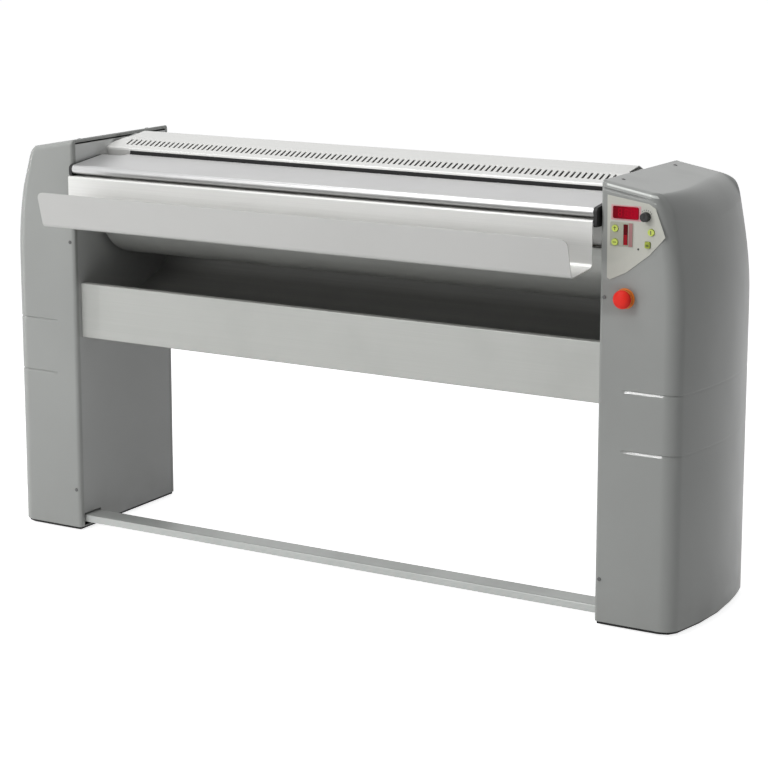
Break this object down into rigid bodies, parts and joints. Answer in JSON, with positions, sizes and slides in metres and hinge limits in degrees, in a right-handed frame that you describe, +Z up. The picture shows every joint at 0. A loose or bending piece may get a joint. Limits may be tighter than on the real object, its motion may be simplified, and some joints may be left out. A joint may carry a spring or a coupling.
{
  "type": "flatwork ironer",
  "caption": "Free-standing flatwork ironer: padded roller in a heated chest between two side cabinets, with a feed tray, finger guard, vented cover, linen chute and foot bar.",
  "frame": {"origin": "on the floor, under the middle of the bounding box", "axes": "+X along the machine to the control side, -Y towards the person who feeds it, +Z up"},
  "size_m": [1.8816, 0.566, 1.011],
  "materials": {
    "grey_paint": "satin",
    "satin_steel": "satin",
    "bright_steel": "polished",
    "plated_steel": "satin",
    "dark_sheet": "satin",
    "dark_steel": "oiled",
    "black_plastic": "matte",
    "cast_iron": "matte",
    "padding_cloth": "woven",
    "panel_film": "satin",
    "level_film": "satin",
    "display_window": "glossy",
    "led_bar": "glossy",
    "button_lime": "satin",
    "stop_red": "satin",
    "stop_yellow": "satin",
    "box_grey": "satin",
    "motor_grey": "satin"
  },
  "bodies": {
    "frame": {"left_side_cover": "grey_paint", "right_side_cover": "grey_paint", "left_inner_plate": "grey_paint", "right_inner_plate": "grey_paint", "left_base": "black_plastic", "right_base": "black_plastic", "left_front_screw_1": "plated_steel", "left_front_screw_2": "plated_steel", "left_top_screw_1": "plated_steel", "left_top_screw_2": "plated_steel", "right_front_screw_1": "plated_steel", "right_front_screw_2": "plated_steel", "right_top_screw_1": "plated_steel", "right_top_screw_2": "plated_steel", "left_roller_bearing": "cast_iron", "right_roller_bearing": "cast_iron", "left_lift_cylinder": "dark_steel", "right_lift_cylinder": "dark_steel", "feed_tray": "satin_steel", "vent_cover": "satin_steel", "rear_panel": "satin_steel", "linen_chute": "dark_sheet", "front_apron": "satin_steel", "cross_beam": "plated_steel", "foot_switch": "black_plastic", "control_panel": "panel_film", "display_window": "display_window", "level_plate": "level_film", "level_led_bar": "led_bar", "stop_collar": "stop_yellow", "stop_switch": "black_plastic", "drive_chain": "dark_steel", "gear_motor": "motor_grey", "motor_bracket": "plated_steel", "control_box": "box_grey", "cable_gland": "black_plastic"},
    "roller": {"roller_padding": "padding_cloth", "roller_tube": "satin_steel", "roller_left_end": "plated_steel", "roller_right_end": "plated_steel", "roller_sprocket": "dark_steel"},
    "motor_shaft": {"motor_sprocket": "dark_steel"},
    "chest": {"heated_chest": "satin_steel", "chest_cover": "satin_steel", "chest_heater_1": "dark_steel", "chest_heater_2": "dark_steel", "chest_heater_3": "dark_steel", "left_lift_rod": "plated_steel", "right_lift_rod": "plated_steel"},
    "guard": {"finger_guard": "bright_steel", "guard_left_cap": "black_plastic", "guard_right_cap": "black_plastic"},
    "foot_lever": {"foot_bar": "satin_steel"},
    "stop_stem": {"stop_plunger": "dark_steel"},
    "stop_head": {"stop_cap": "stop_red"},
    "knob": {"selector_knob": "black_plastic"},
    "key_1": {"button_1": "button_lime"},
    "key_2": {"button_2": "button_lime"},
    "key_3": {"button_3": "button_lime"},
    "key_4": {"button_4": "button_lime"}
  },
  "joints": [
    {"name": "roller_spin", "type": "hinge", "parent": "frame", "child": "roller", "pos_m": [0, 0.095, 0.853], "axis": [1, 0, 0], "continuous": true},
    {"name": "motor_spin", "type": "hinge", "parent": "frame", "child": "motor_shaft", "pos_m": [0.793, -0.012, 0.6], "axis": [1, 0, 0], "continuous": true},
    {"name": "chest_lower", "type": "slide", "parent": "frame", "child": "chest", "axis": [0, 0, 1], "range_m": [-0.012, 0], "stiffness_N_per_m": 20000, "springref_m": 0.05},
    {"name": "guard_lift", "type": "hinge", "parent": "frame", "child": "guard", "pos_m": [0, -0.03, 0.955], "axis": [-1, 0, 0], "range_deg": [0, 20]},
    {"name": "foot_bar_press", "type": "hinge", "parent": "frame", "child": "foot_lever", "pos_m": [0, 0.158, 0.066], "axis": [1, 0, 0], "range_deg": [0, 1.3], "stiffness_Nm_per_rad": 60, "springref_deg": -17.19},
    {"name": "stop_push", "type": "slide", "parent": "frame", "child": "stop_stem", "axis": [0, 1, 0], "range_m": [0, 0.005], "stiffness_N_per_m": 800, "springref_m": -0.003},
    {"name": "stop_turn", "type": "hinge", "parent": "stop_stem", "child": "stop_head", "pos_m": [0.787, -0.15, 0.755], "axis": [0, 1, 0], "range_deg": [0, 40], "stiffness_Nm_per_rad": 0.05, "springref_deg": -5.73},
    {"name": "knob_turn", "type": "hinge", "parent": "frame", "child": "knob", "pos_m": [0.833, -0.15, 0.938], "axis": [0, 1, 0], "range_deg": [-135, 135]},
    {"name": "button_1_press", "type": "slide", "parent": "frame", "child": "key_1", "axis": [0, 1, 0], "range_m": [0, 0.0015], "stiffness_N_per_m": 300, "springref_m": -0.002},
    {"name": "button_2_press", "type": "slide", "parent": "frame", "child": "key_2", "axis": [0, 1, 0], "range_m": [0, 0.0015], "stiffness_N_per_m": 300, "springref_m": -0.002},
    {"name": "button_3_press", "type": "slide", "parent": "frame", "child": "key_3", "axis": [0, 1, 0], "range_m": [0, 0.0015], "stiffness_N_per_m": 300, "springref_m": -0.002},
    {"name": "button_4_press", "type": "slide", "parent": "frame", "child": "key_4", "axis": [0, 1, 0], "range_m": [0, 0.0015], "stiffness_N_per_m": 300, "springref_m": -0.002}
  ],
  "couplings": [
    {"joint": "motor_spin", "follows": "roller_spin", "ratio": 2.1667}
  ]
}
